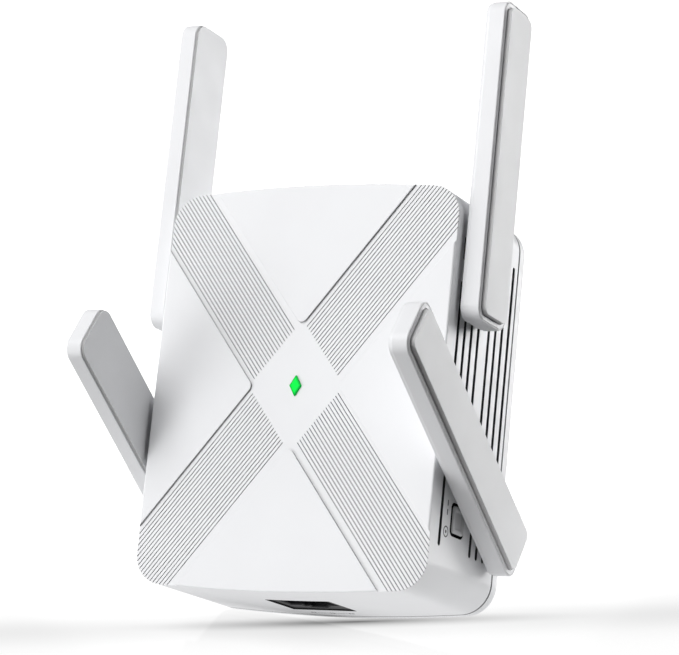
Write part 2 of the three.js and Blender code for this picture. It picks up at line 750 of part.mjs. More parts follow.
function addMainBoard() {
  const front = mainBoardFront - gap;
  const back = mainBoardBack + gap;
  const led = box(-ledHalfWidth, ledHalfWidth, front - ledHeight, front, -ledHalfHeight, ledHalfHeight);
  const spreaderSheet = box(...spreader.x, front - spreader.thickness, front, ...spreader.z);
  const shieldCan = box(...shield.x, back, back + shield.thickness, ...shield.z);
  const pinHeader = box(...connector.x, back, powerBoardFront - gap, ...connector.z);
  const pushSwitch = box(switchInnerX, switchOuterX, back, back + switchDepth,
    buttonZ - switchHalfHeight, buttonZ + switchHalfHeight);
  add(assembly, 'main_board', mainBoard(), materials.board);
  add(assembly, 'status_led', led, materials.light);
  add(assembly, 'processor_heat_spreader', spreaderSheet, materials.steel);
  add(assembly, 'radio_shield', shieldCan, materials.steel);
  add(assembly, 'button_switch', pushSwitch, materials.black);
  add(assembly, 'board_connector', pinHeader, materials.black);
  for (const [sideName, side] of namedSides) {
    for (const [levelName, level] of [['upper', 1], ['lower', -1]]) {
      const name = `main_board_screw_${levelName}_${sideName}`;
      const piece = add(assembly, name, screw(back, 1, mainScrewLength), materials.steel);
      piece.position.set(side * mainScrewX, 0, level * mainScrewZ);
    }
  }
}

function addPowerBoard() {
  const front = powerBoardFront - gap;
  const can = circle(capacitor.x, capacitor.z, capacitor.radius);
  add(assembly, 'power_board', powerBoard(), materials.powerBoard);
  add(assembly, 'transformer', transformer(), materials.ferrite);
  add(assembly, 'bulk_capacitor', alongY(can, front - capacitor.length, front), materials.sleeve);
  powerScrews.forEach(([x, z], index) => {
    const name = `power_board_screw_${index + 1}`;
    const piece = add(assembly, name, screw(front, -1, powerScrewLength), materials.steel);
    piece.position.set(x, 0, z);
  });
}

function addAntenna(sideName, side, levelName, pivot) {
  const antenna = new THREE.Group();
  const prefix = `antenna_${levelName}_${sideName}`;
  antenna.position.set(0, pivot.y, pivot.z);
  antenna.rotation.x = THREE.MathUtils.degToRad(pivot.tiltDegrees);
  add(antenna, `${prefix}_body`, antennaBody(side), materials.case);
  add(antenna, `${prefix}_panel`, antennaPanel(side), materials.case);
  add(antenna, `${prefix}_radiator`, antennaRadiator(side), materials.board);
  add(antenna, `${prefix}_hinge`, antennaHinge(side), materials.case);
  add(antenna, `${prefix}_clip`, antennaClip(side), materials.steel);
  assembly.add(antenna);
}

addCase();
addMainBoard();
addPowerBoard();
for (const [sideName, side] of namedSides) {
  addAntenna(sideName, side, 'upper', upperPivot);
  addAntenna(sideName, side, 'lower', lowerPivot);
}

export default assembly;
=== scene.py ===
"""A white plug-in wifi range extender: the case with its X relief, four hinged antennas, side vents,
a push button, an ethernet socket and a wall plug, in a plain bright studio."""

import json
import math

import bpy
from mathutils import Euler, Matrix, Vector


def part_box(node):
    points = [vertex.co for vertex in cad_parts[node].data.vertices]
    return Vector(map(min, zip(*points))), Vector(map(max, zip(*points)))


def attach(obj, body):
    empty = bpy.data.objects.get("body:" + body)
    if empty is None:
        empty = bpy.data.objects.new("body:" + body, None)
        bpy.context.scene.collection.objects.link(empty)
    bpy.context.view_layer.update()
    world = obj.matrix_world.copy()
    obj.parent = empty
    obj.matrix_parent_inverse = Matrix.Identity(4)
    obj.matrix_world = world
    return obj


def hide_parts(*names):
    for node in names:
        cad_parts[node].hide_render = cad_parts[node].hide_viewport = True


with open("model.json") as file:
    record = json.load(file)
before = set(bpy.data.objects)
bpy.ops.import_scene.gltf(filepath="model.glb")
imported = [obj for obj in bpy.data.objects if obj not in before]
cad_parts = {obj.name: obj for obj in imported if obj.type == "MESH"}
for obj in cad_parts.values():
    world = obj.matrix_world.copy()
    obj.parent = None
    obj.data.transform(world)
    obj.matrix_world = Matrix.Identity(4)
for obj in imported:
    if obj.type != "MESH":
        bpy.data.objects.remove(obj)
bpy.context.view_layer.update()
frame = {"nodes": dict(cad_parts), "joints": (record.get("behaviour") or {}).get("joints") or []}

MM = 0.001

# ---------------------------------------------------------------- sizes, in millimetres


def node_box(name):
    """A CAD node's lowest and highest corner in millimetres."""
    low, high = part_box(name)
    return low / MM, high / MM


housing_low, housing_high = node_box("front_housing")
cover_low, cover_high = node_box("back_cover")

CASE_HALF_WIDTH = cover_high.x
CASE_HALF_HEIGHT = cover_high.z
FRONT_Y = housing_low.y
SEAM_Y = housing_high.y
GAP = 0.3
PAST = 1  # how far a cutter runs past the face that it cuts
SEAM_EASE = 0.18
CASE_CROWN_RADIUS = 390
CASE_CORNER_RADIUS = 7
CASE_WALL = 1.8
CASE_FRONT_THICKNESS = 2.2
FRONT_INNER_Y = FRONT_Y + CASE_FRONT_THICKNESS
SIDE_INNER_X = CASE_HALF_WIDTH - CASE_WALL
POST_RADIUS = 2.6
SCREW_HOLE_RADIUS = 1.35
ROOT = 0.5  # how far a post or seat is sunk into the wall that it grows from
FRONT_EDGE_ROUND = 0.45
BACK_EDGE_ROUND = 3
MARK_DEPTH = 0.06

RELIEF_DEPTH = 0.5
RELIEF_Y = FRONT_Y + RELIEF_DEPTH
NOTCH_X = 10.7
NOTCH_Z = 13.5
NOTCH_RADIUS = 1.5
RELIEF_ANGLE = math.atan(NOTCH_Z / NOTCH_X)
ARM_HALF_WIDTH = NOTCH_Z * math.cos(RELIEF_ANGLE)
GROOVE_COUNT = 18
GROOVE_PITCH = 0.81
GROOVE_SHIFT = 0.4  # from the middle of an arm to the middle of its grooves
GROOVE_WIDTH = 0.15
GROOVE_DEPTH = 0.35
GROOVE_START = 1.0
GROOVE_REACH = 62

LIGHT_HALF_WIDTH = 1.45
LIGHT_HALF_HEIGHT = 2.37

SLOT_PLACES = (5.3, 8.72, 12.14, 15.56, 20.9, 24.32, 27.74, 31.16)
SLOT_WIDTH = 1.2
SLOT_HALF_HEIGHT = 34.1
SLOT_END_ABOVE_BUTTON = -21
SLOTS_ABOVE_BUTTON = (1, 2, 3)
HINGE_CLEAR_RADIUS = 5.4
HINGE_HOLE_RADIUS = 3.5
HINGE_SEAT_RADIUS = 4.9
HINGE_SEAT_X = housing_high.x

BUTTON_FLANGE = 1
BUTTON_CORNER = 1.1
BUTTON_WINDOW_CORNER = 1.4
BUTTON_MOAT = 0.35
BUTTON_STEM_RADIUS = 1.3
BUTTON_STEM_BEHIND_MIDDLE = 1

PORT_CORNER = 0.4
SOCKET_CORNER = 0.5

ANTENNA_INNER_X = node_box("antenna_upper_right_body")[0].x
ANTENNA_RIM_X = node_box("antenna_upper_right_body")[1].x
ANTENNA_PANEL_X = node_box("antenna_upper_right_panel")[1].x
ANTENNA_WIDTH = 14.4
ANTENNA_REACH = 61.8
ANTENNA_TAIL = 11.4
ANTENNA_CORNER = 3.4
ANTENNA_RIM = 1.3
ANTENNA_FLOOR = 1.0
ANTENNA_STEP = 0.7
ANTENNA_STEP_INSET = 0.28
ANTENNA_TILT = {"upper": 0, "lower": 57.6}

PLUG_FLANGE = 2
PLUG_CORNER = 2
BLADE_HOLE_Y = 11.7
BLADE_HOLE_RADIUS = 1.9

SIDES = {"left": -1, "right": 1}
LEVELS = ("upper", "lower")


def hinge_place(level):
    """Y and Z of an antenna's hinge, from its joint."""
    joint = next(j for j in frame["joints"] if j["name"] == f"antenna_{level}_right_turn")
    return joint["pos_m"][1] / MM, joint["pos_m"][2] / MM


HINGES = {level: hinge_place(level) for level in LEVELS}

# ---------------------------------------------------------------- outlines


def arc(a, b, radius, start, end, steps):
    """Points of a circular arc, angles in degrees."""
    angles = [math.radians(start + (end - start) * i / steps) for i in range(steps + 1)]
    return [(a + radius * math.cos(t), b + radius * math.sin(t)) for t in angles]


def circle(a, b, radius, sides=48):
    return arc(a, b, radius, 0, 360, sides)[:-1]


def rounded_rectangle(a0, a1, b0, b1, radius, steps=10):
    corners = ((a1 - radius, b1 - radius), (a0 + radius, b1 - radius),
               (a0 + radius, b0 + radius), (a1 - radius, b0 + radius))
    points = []
    for turn, (a, b) in enumerate(corners):
        points += arc(a, b, radius, 90 * turn, 90 * turn + 90, steps)
    return points


def case_outline(inset):
    """The case seen from the front: straight sides, crowned top and bottom, round corners."""
    crown_z = CASE_HALF_HEIGHT - CASE_CROWN_RADIUS
    corner_x = CASE_HALF_WIDTH - CASE_CORNER_RADIUS
    reach = CASE_CROWN_RADIUS - CASE_CORNER_RADIUS
    corner_z = crown_z + math.sqrt(reach ** 2 - corner_x ** 2)
    meet = math.degrees(math.atan2(corner_z - crown_z, corner_x))
    quadrant = arc(corner_x, corner_z, CASE_CORNER_RADIUS - inset, 0, meet, 20)
    quadrant += arc(0, crown_z, CASE_CROWN_RADIUS - inset, meet, 90, 16)[1:]
    outline = []
    for sign_x, sign_z in ((1, 1), (-1, 1), (-1, -1), (1, -1)):
        part = [(sign_x * x, sign_z * z) for x, z in quadrant]
        if sign_x * sign_z < 0:
            part = part[::-1][1:]
        outline += part
    return outline


def relief_outline(grow):
    """The X of the relief, with its four notches rounded and its arms run past the case's corners."""
    scale = (ARM_HALF_WIDTH + grow) / ARM_HALF_WIDTH
    slant = math.degrees(RELIEF_ANGLE)
    reach = 60
    radius = NOTCH_RADIUS - grow
    points = []
    for direction, distance, half_angle in ((0, NOTCH_X, slant), (90, NOTCH_Z, 90 - slant),
                                            (180, NOTCH_X, slant), (270, NOTCH_Z, 90 - slant)):
        middle = distance * scale + radius / math.sin(math.radians(half_angle))
        way = math.radians(direction)
        centre = (middle * math.cos(way), middle * math.sin(way))
        spread = 90 - half_angle
        points += arc(*centre, radius, direction + 180 + spread, direction + 180 - spread, 8)
        arm = math.radians(direction + half_angle)
        tip = (distance * scale * math.cos(way), distance * scale * math.sin(way))
        points.append((tip[0] + reach * math.cos(arm), tip[1] + reach * math.sin(arm)))
        following = math.radians(direction + 90)
        next_distance = (NOTCH_Z if distance == NOTCH_X else NOTCH_X) * scale
        next_tip = (next_distance * math.cos(following), next_distance * math.sin(following))
        points.append((next_tip[0] + reach * math.cos(arm), next_tip[1] + reach * math.sin(arm)))
    return points


def rhombus(half_width, half_height, grow=0.0, tip_radius=0.06):
    """A diamond with slightly rounded points, moved outwards by grow."""
    slant = math.degrees(math.atan2(half_height, half_width))
    long = math.hypot(half_width, half_height)
    wide = half_width + grow * long / half_height
    high = half_height + grow * long / half_width
    radius = tip_radius + max(grow, 0)
    points = []
    for direction, distance, half_angle in ((0, wide, slant), (90, high, 90 - slant),
                                            (180, wide, slant), (270, high, 90 - slant)):
        middle = distance - radius / math.sin(math.radians(half_angle))
        way = math.radians(direction)
        spread = 90 - half_angle
        points += arc(middle * math.cos(way), middle * math.sin(way), radius,
                      direction - spread, direction + spread, 6)
    return points


def antenna_outline(inset):
    half = ANTENNA_WIDTH / 2 - inset
    return rounded_rectangle(-half, half, -ANTENNA_TAIL + inset, ANTENNA_REACH - inset,
                             max(ANTENNA_CORNER - inset, 0.6), 12)


# ---------------------------------------------------------------- meshes

AXES = {
    "x": lambda a, b, t: (t, a, b),
    "y": lambda a, b, t: (a, t, b),
    "z": lambda a, b, t: (a, b, t),
}


def fillet(radius, start, way, steps=5):
    """(inset, place) pairs of a quarter round from a flat end face out to the side wall."""
    turns = [math.radians(90 * i / steps) for i in range(steps + 1)]
    return [(radius * (1 - math.sin(t)), start + way * radius * (1 - math.cos(t))) for t in turns]


def loft_mesh(name, outline, profile, axis, bands=None, ends=None):
    """Rings of one outline at each (inset, place) of the profile, closed at both ends.
    bands gives a material index for each stretch between rings, and ends one for each end face."""
    place = AXES[axis]
    rings = [[place(a, b, t) for a, b in outline(inset)] for inset, t in profile]
    count = len(rings[0])
    vertices = [Vector(p) * MM for ring in rings for p in ring]
    faces, indices = [], []
    for r in range(len(rings) - 1):
        for i in range(count):
            j = (i + 1) % count
            faces.append((r * count + i, r * count + j, (r + 1) * count + j, (r + 1) * count + i))
            indices.append(bands[r] if bands else 0)
    last = (len(rings) - 1) * count
    faces.append(tuple(range(count))[::-1])
    faces.append(tuple(range(last, last + count)))
    indices += ends or [indices[0], indices[-1]]
    mesh = bpy.data.meshes.new(name)
    mesh.from_pydata(vertices, [], faces)
    mesh.polygons.foreach_set("material_index", indices)
    if signed_volume(mesh) < 0:
        mesh.flip_normals()
    return mesh


def banded(*sections):
    """A profile and its bands, from (material index, points) sections. A section's index also
    covers the stretch that leads up to its first point."""
    profile = [point for _, points in sections for point in points]
    bands = [index for index, points in sections for _ in points][1:]
    return profile, bands


def signed_volume(mesh):
    total = 0.0
    for face in mesh.polygons:
        first = mesh.vertices[face.vertices[0]].co
        for i in range(1, len(face.vertices) - 1):
            second = mesh.vertices[face.vertices[i]].co
            third = mesh.vertices[face.vertices[i + 1]].co
            total += first.dot(second.cross(third))
    return total


def prism(name, points, start, end, axis, index=0):
    return loft_mesh(name, lambda inset: points, [(0, start), (0, end)], axis, [index])


def box_mesh(name, x0, x1, y0, y1, z0, z1, index=0):
    return prism(name, [(x0, y0), (x1, y0), (x1, y1), (x0, y1)], z0, z1, "z", index)


def make_object(name, mesh, materials):
    piece = bpy.data.objects.new(name, mesh)
    bpy.context.scene.collection.objects.link(piece)
    for material in materials:
        mesh.materials.append(material)
    return piece


def merged(name, meshes):
    """One mesh that holds several separate closed ones."""
    vertices, faces, indices = [], [], []
    for mesh in meshes:
        start = len(vertices)
        vertices += [v.co.copy() for v in mesh.vertices]
        faces += [tuple(start + i for i in face.vertices) for face in mesh.polygons]
        indices += [face.material_index for face in mesh.polygons]
        bpy.data.meshes.remove(mesh)
    whole = bpy.data.meshes.new(name)
    whole.from_pydata(vertices, [], faces)
    whole.polygons.foreach_set("material_index", indices)
    return whole


def apply_boolean(piece, tool_mesh, operation="DIFFERENCE"):
    """Cuts tool_mesh from the piece, or joins it. Cut faces keep the tool's material index."""
    tool = make_object("tool", tool_mesh, piece.data.materials)
    modifier = piece.modifiers.new("cut", "BOOLEAN")
    modifier.operation = operation
    modifier.solver = "MANIFOLD"
    modifier.object = tool
    bpy.context.view_layer.update()
    result = bpy.data.meshes.new_from_object(piece.evaluated_get(bpy.context.evaluated_depsgraph_get()))
    piece.modifiers.clear()
    old = piece.data
    result.name = old.name
    piece.data = result
    bpy.data.meshes.remove(old)
    bpy.data.objects.remove(tool)
    bpy.data.meshes.remove(tool_mesh)


def shade(piece, angle=35):
    """Smooth shading with sharp edges past an angle, and large faces kept flat."""
    piece.data.polygons.foreach_set("use_smooth", [True] * len(piece.data.polygons))
    piece.data.set_sharp_from_angle(angle=math.radians(angle))
    weighted = piece.modifiers.new("weighted_normals", "WEIGHTED_NORMAL")
    weighted.keep_sharp = True
    weighted.weight = 100
    return piece


def finish_piece(piece, body, slot, *nodes):
    """Shades a piece, hangs it on its CAD body and lets it stand for its CAD nodes."""
    shade(piece)
    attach(piece, body)
    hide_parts(*nodes)
    return piece


# ---------------------------------------------------------------- materials


class Nodes:
    """A short way to wire a material's nodes."""

    def __init__(self, name):
        self.material = bpy.data.materials.new(name)
        self.material.use_nodes = True
        self.tree = self.material.node_tree
        self.shader = self.tree.nodes["Principled BSDF"]
        self.place = self.add("ShaderNodeTexCoord").outputs["Object"]

    def add(self, kind, **settings):
        node = self.tree.nodes.new(kind)
        for key, value in settings.items():
            setattr(node, key, value)
        return node

    def link(self, source, target):
        self.tree.links.new(source, target)

    def noise(self, scale, detail=2.0, stretch=None):
        node = self.add("ShaderNodeTexNoise")
        node.inputs["Scale"].default_value = scale
        node.inputs["Detail"].default_value = detail
        if stretch:
            mapping = self.add("ShaderNodeMapping")
            mapping.inputs["Scale"].default_value = stretch
            self.link(self.place, mapping.inputs["Vector"])
            self.link(mapping.outputs["Vector"], node.inputs["Vector"])
        else:
            self.link(self.place, node.inputs["Vector"])
        return node.outputs["Fac"]

    def ramp(self, source, low, high, start=0.3, end=0.7):
        """Maps a 0 to 1 value to a range of numbers."""
        node = self.add("ShaderNodeMapRange")
        node.inputs["From Min"].default_value = start
        node.inputs["From Max"].default_value = end
        node.inputs["To Min"].default_value = low
        node.inputs["To Max"].default_value = high
        self.link(source, node.inputs["Value"])
        return node.outputs["Result"]

    def blend(self, factor, first, second):
        """A colour between two, by a factor."""
        node = self.add("ShaderNodeMix", data_type="RGBA")
        self.link(factor, node.inputs[0])
        node.inputs[6].default_value = (*first, 1)
        node.inputs[7].default_value = (*second, 1)
        return node.outputs[2]

    def bump(self, height, distance, strength=1.0):
        node = self.add("ShaderNodeBump")
        node.inputs["Distance"].default_value = distance
        node.inputs["Strength"].default_value = strength
        self.link(height, node.inputs["Height"])
        self.link(node.outputs["Normal"], self.shader.inputs["Normal"])

    def set(self, **values):
        for name, value in values.items():
            self.shader.inputs[name.replace("_", " ")].default_value = value
        return self.material


def scaled(color, factor):
    return tuple(min(1.0, channel * factor) for channel in color)


def moulded_plastic(name, color, roughness, grain=0.00035, depth=0.000004, gloss=0.5):
    """Moulded plastic: a fine spark-eroded grain, with faint mottling of colour and gloss."""
    n = Nodes(name)
    n.link(n.blend(n.ramp(n.noise(55, 3), 0, 1), scaled(color, 0.985), scaled(color, 1.01)),
           n.shader.inputs["Base Color"])
    n.link(n.ramp(n.noise(140, 2), roughness - 0.03, roughness + 0.03), n.shader.inputs["Roughness"])
    n.bump(n.noise(1 / grain, 3), depth)
    return n.set(IOR=1.48, Specular_IOR_Level=gloss)


def metal(name, color, roughness, stretch):
    """Rolled metal with fine drawn lines."""
    n = Nodes(name)
    lines = n.noise(900, 3, stretch)
    n.link(n.blend(n.ramp(lines, 0, 1), scaled(color, 0.9), scaled(color, 1.04)),
           n.shader.inputs["Base Color"])
    n.link(n.ramp(lines, roughness - 0.06, roughness + 0.08), n.shader.inputs["Roughness"])
    n.bump(lines, 0.000004)
    return n.set(Metallic=1.0)


def circuit_board(name, mask, copper):
    """Solder mask over copper tracks, which lie square to the board's edges."""
    n = Nodes(name)
    tracks = n.add("ShaderNodeTexBrick", offset=0.5, squash=1.0)
    tracks.inputs["Scale"].default_value = 260
    tracks.inputs["Mortar Size"].default_value = 0.035
    tracks.inputs["Color1"].default_value = (*mask, 1)
    tracks.inputs["Color2"].default_value = (*scaled(mask, 0.86), 1)
    tracks.inputs["Mortar"].default_value = (*copper, 1)
    turn = n.add("ShaderNodeMapping")
    turn.inputs["Rotation"].default_value = (math.pi / 2, 0, 0)
    n.link(n.place, turn.inputs["Vector"])
    n.link(turn.outputs["Vector"], tracks.inputs["Vector"])
    n.link(tracks.outputs["Color"], n.shader.inputs["Base Color"])
    n.link(n.ramp(n.noise(400, 2), 0.3, 0.45), n.shader.inputs["Roughness"])
    n.bump(tracks.outputs["Fac"], 0.00002)
    return n.set()


def lit_light_guide(name, middle, edge):
    """Diffusing plastic lit from behind: brightest in the middle, deeper green at the rim."""
    n = Nodes(name)
    low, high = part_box("status_light_lens")
    centre = (low + high) / 2
    mapping = n.add("ShaderNodeMapping")
    mapping.inputs["Location"].default_value = tuple(-c for c in centre)
    n.link(n.place, mapping.inputs["Vector"])
    parts = n.add("ShaderNodeSeparateXYZ")
    n.link(mapping.outputs["Vector"], parts.inputs["Vector"])
    shares = []
    for axis, half in (("X", LIGHT_HALF_WIDTH), ("Z", LIGHT_HALF_HEIGHT)):
        size = n.add("ShaderNodeMath", operation="ABSOLUTE")
        n.link(parts.outputs[axis], size.inputs[0])
        share = n.add("ShaderNodeMath", operation="DIVIDE")
        n.link(size.outputs[0], share.inputs[0])
        share.inputs[1].default_value = half * MM
        shares.append(share.outputs[0])
    total = n.add("ShaderNodeMath", operation="ADD")
    n.link(shares[0], total.inputs[0])
    n.link(shares[1], total.inputs[1])
    rim = n.ramp(total.outputs[0], 0, 1, 0.62, 1.0)
    color = n.blend(rim, middle, edge)
    n.link(color, n.shader.inputs["Emission Color"])
    n.link(n.ramp(n.noise(900, 2), 0.95, 1.02), n.shader.inputs["Emission Strength"])
    n.link(n.blend(n.noise(500, 2), (0.0, 0.02, 0.004), (0.0, 0.03, 0.006)), n.shader.inputs["Base Color"])
    return n.set(Roughness=0.4, Specular_IOR_Level=0.1)


WHITE = (0.75, 0.755, 0.77)
case_plastic = moulded_plastic("white_case_plastic", WHITE, 0.42)
# The inside and slot plastics are painted shade: near black for the shade inside the case, in the walls of
# its openings, slots and holes, on the case's posts and on the button's flange.
inner_painted_shade = moulded_plastic("inner_painted_shade", (0.02, 0.02, 0.022), 0.7, gloss=0.2)
# The groove plastic is painted shade: grey for the shade in the grooves, on the relief's walls and in the
# seam.
groove_painted_shade = moulded_plastic("groove_painted_shade", (0.26, 0.26, 0.265), 0.6)
slot_painted_shade = moulded_plastic("slot_painted_shade", (0.07, 0.07, 0.073), 0.6)
ink = moulded_plastic("printed_mark", (0.1, 0.1, 0.11), 0.6)
# The antenna trim plastic is painted shade: a darker grey for the shade in the gap and on the neck beside
# each panel.
trim_painted_shade = moulded_plastic("antenna_trim_painted_shade", (0.56, 0.56, 0.565), 0.5)
# The antenna line plastic is painted shade in the fine line along the rim.
line_painted_shade = moulded_plastic("antenna_line_painted_shade", (0.6, 0.6, 0.605), 0.5)
# The antenna step plastic is painted shade on the step of the left antennas.
step_painted_shade = moulded_plastic("antenna_step_painted_shade", (0.34, 0.34, 0.345), 0.5)
antenna_plastic = moulded_plastic("white_antenna_plastic", (0.735, 0.74, 0.755), 0.46)
panel_plastic = moulded_plastic("white_panel_plastic", (0.715, 0.72, 0.73), 0.5, grain=0.00028)
# The button's plastic is white like the case; its grey is painted shade, for the antenna's shadow on it.
button_painted_shade = moulded_plastic("white_button_in_painted_shade", (0.5, 0.505, 0.515), 0.4)
socket_plastic = moulded_plastic("socket_plastic", (0.012, 0.012, 0.014), 0.38, gloss=0.15)
switch_plastic = moulded_plastic("switch_plastic", (0.03, 0.03, 0.033), 0.45)
capacitor_sleeve = moulded_plastic("capacitor_sleeve", (0.02, 0.03, 0.07), 0.3)
ferrite = moulded_plastic("ferrite", (0.035, 0.035, 0.04), 0.75, grain=0.0002, depth=0.00001)
blade_metal = metal("blade_metal", (0.72, 0.71, 0.68), 0.26, (1, 0.05, 1))
shield_metal = metal("shield_metal", (0.7, 0.71, 0.72), 0.32, (0.06, 1, 1))
spreader_metal = metal("spreader_metal", (0.78, 0.79, 0.8), 0.4, (1, 1, 0.06))
screw_steel = metal("screw_steel", (0.62, 0.63, 0.64), 0.34, (1, 1, 1))
clip_steel = metal("clip_steel", (0.55, 0.56, 0.58), 0.3, (1, 1, 1))
contact_gold = metal("contact_gold", (0.83, 0.6, 0.22), 0.22, (1, 1, 0.1))
main_board_mask = circuit_board("main_board_mask", (0.012, 0.11, 0.04), (0.03, 0.2, 0.08))
power_board_paper = circuit_board("power_board_paper", (0.3, 0.16, 0.06), (0.4, 0.26, 0.12))
light_guide = lit_light_guide("light_guide", (0.0, 1.0, 0.075), (0.0, 0.33, 0.04))
led_package = lit_light_guide("led_package", (0.1, 1.0, 0.3), (0.3, 0.9, 0.4))

ANTENNA_MATERIALS = [antenna_plastic, trim_painted_shade, line_painted_shade, step_painted_shade]
PANEL_MATERIALS = [panel_plastic, trim_painted_shade]
# Band indices: a piece's first plastic, then its darker plastics of painted shade.
LIGHT, DARK_SHADE, FAINT_SHADE, STEP = range(4)

# ---------------------------------------------------------------- case

CASE_MATERIALS = [case_plastic, inner_painted_shade, groove_painted_shade, slot_painted_shade, ink]
# Material indices: the case plastic; painted shade inside the case and in the walls of its openings; painted
# shade in the grooves, on the relief's walls and in the seam; painted shade in the slots and holes; and
# print.
PLASTIC, INNER, GROOVE, SLOT, INK = range(5)


def groove_meshes():
    """Fine grooves along the four arms, flared at the top so that their edges are eased. Their walls and
    floors are painted grey as shade.
    """
    cross = 2 * RELIEF_ANGLE
    top, floor, ease = RELIEF_Y - 0.02, RELIEF_Y + GROOVE_DEPTH, 0.03
    meshes = []
    for turn, lean, aside in ((RELIEF_ANGLE, 1, 1), (math.pi - RELIEF_ANGLE, -1, 1),
                              (math.pi + RELIEF_ANGLE, 1, -1), (-RELIEF_ANGLE, -1, 1)):
        for i in range(GROOVE_COUNT):
            offset = (i - (GROOVE_COUNT - 1) / 2) * GROOVE_PITCH + aside * GROOVE_SHIFT
            near = (ARM_HALF_WIDTH + GROOVE_START - lean * offset * math.cos(cross)) / math.sin(cross)

            def outline(inset):
                half = GROOVE_WIDTH / 2 - inset
                flat = rounded_rectangle(near + inset, GROOVE_REACH, offset - half, offset + half,
                                         half * 0.98, 3)
                return [(a * math.cos(turn) - b * math.sin(turn),
                         a * math.sin(turn) + b * math.cos(turn)) for a, b in flat]

            profile = [(-ease, top), (0, top + ease + 0.02), (0.01, floor - 0.06), (0.04, floor)]
            meshes.append(loft_mesh("groove", outline, profile, "y", [GROOVE] * 3))
    return meshes


def slot_meshes(side):
    """Vent slots of one side, broken where they would come too near a hinge."""
    meshes = []
    for index, place in enumerate(SLOT_PLACES):
        y = FRONT_Y + place
        shortened = side > 0 and index in SLOTS_ABOVE_BUTTON
        ends = [SLOT_END_ABOVE_BUTTON if shortened else -SLOT_HALF_HEIGHT]
        for level in ("lower", "upper"):
            hinge_y, hinge_z = HINGES[level]
            square = HINGE_CLEAR_RADIUS ** 2 - (y - hinge_y) ** 2
            if square > 0:
                ends += [hinge_z - math.sqrt(square), hinge_z + math.sqrt(square)]
        ends.append(SLOT_HALF_HEIGHT)
        for bottom, top in zip(ends[::2], ends[1::2]):
            corner = SLOT_WIDTH / 2 * 0.99
            # The slots' walls are painted near black as shade.
            meshes.append(side_cutter(y, (bottom + top) / 2, SLOT_WIDTH, top - bottom, corner, side,
                                      0.08, SLOT))
    return meshes


def side_cutter(y, z, width, height, radius, side, ease, index):
    """A cutter through a side wall with an eased mouth."""

    def outline(inset):
        return rounded_rectangle(y - width / 2 + inset, y + width / 2 - inset,
                                 z - height / 2 + inset, z + height / 2 - inset, radius - inset, 8)

    x = CASE_HALF_WIDTH
    outside = x + GAP
    profile = [(-ease, side * outside), (-ease, side * x), (-ease * 0.3, side * (x - ease * 0.3)),
               (0, side * (x - ease)), (0, side * (x - CASE_WALL - PAST))]
    return loft_mesh("side_cut", outline, profile, "x", [PLASTIC, PLASTIC, PLASTIC, index])


def hinge_seat_mesh(side, level):
    y, z = HINGES[level]
    outer = side * HINGE_SEAT_X
    ease = 0.25
    return loft_mesh("seat", lambda inset: circle(y, z, HINGE_SEAT_RADIUS - inset),
                     [(0, side * (SIDE_INNER_X + ROOT)), (0, outer - side * ease), (ease, outer)], "x")


def button_mark_meshes():
    """A shallow ring with a dot and two bars, in front of the button."""
    button_low, button_high = node_box("wps_button")
    y = button_low.y - 1.2
    middle = (button_low.z + button_high.z) / 2
    ring_z = middle - 3.2
    bar_half, bar_length = 0.22, 1.3
    start, end = CASE_HALF_WIDTH - MARK_DEPTH, CASE_HALF_WIDTH + PAST
    marks = [ring_mesh(circle(y, ring_z, 1.25), circle(y, ring_z, 0.95), start, end, "x")]
    marks.append(prism("dot", circle(y, ring_z, 0.38, 24), start, end, "x", INK))
    for lift in (0.4, 2.4):
        z = middle + lift
        bar = rounded_rectangle(y - bar_half, y + bar_half, z, z + bar_length, 0.2, 4)
        marks.append(prism("bar", bar, start, end, "x", INK))
    return marks


def socket_mark_meshes():
    """Three small boxes joined by lines, on the underside behind the socket. They are cut deeper than
    the other marks, because the underside is crowned."""
    jack_low, jack_high = node_box("ethernet_jack")
    middle = (jack_low.x + jack_high.x) / 2
    y = (jack_high.y + SEAM_Y) / 2 + 0.1
    top = -CASE_HALF_HEIGHT + 0.14
    below = -CASE_HALF_HEIGHT - PAST
    half, line_half, spacing = 0.6, 0.14, 4.8
    hollow = half - 2 * line_half
    marks = []
    for step in (-1, 0, 1):
        x = middle + step * spacing
        outer = rounded_rectangle(x - half, x + half, y - half, y + half, 0.15, 3)
        inner = rounded_rectangle(x - hollow, x + hollow, y - hollow, y + hollow, 0.05, 3)
        marks.append(ring_mesh(outer, inner, top, below, "z"))
    reach = spacing / 2 - half - 0.2
    for step in (-0.5, 0.5):
        x = middle + step * spacing
        marks.append(box_mesh("line", x - reach, x + reach, y - line_half, y + line_half, below, top, INK))
    return marks


def ring_mesh(outer, inner, start, end, axis):
    """A flat ring cutter."""
    place = AXES[axis]
    count = len(outer)
    loops = [(outer, start), (outer, end), (inner, end), (inner, start)]
    vertices = [Vector(place(a, b, t)) * MM for loop, t in loops for a, b in loop]
    faces = []
    for r in range(4):
        nxt = (r + 1) % 4
        for i in range(count):
            j = (i + 1) % count
            faces.append((r * count + i, r * count + j, nxt * count + j, nxt * count + i))
    mesh = bpy.data.meshes.new("ring")
    mesh.from_pydata(vertices, [], faces)
    mesh.polygons.foreach_set("material_index", [INK] * len(faces))
    if signed_volume(mesh) < 0:
        mesh.flip_normals()
    return mesh


def screw_centres():
    """X and Z of the four main board screws."""
    centres = []
    for name in SIDES:
        for level in LEVELS:
            low, high = node_box(f"main_board_screw_{level}_{name}")
            centres.append(((low.x + high.x) / 2, (low.z + high.z) / 2))
    return centres


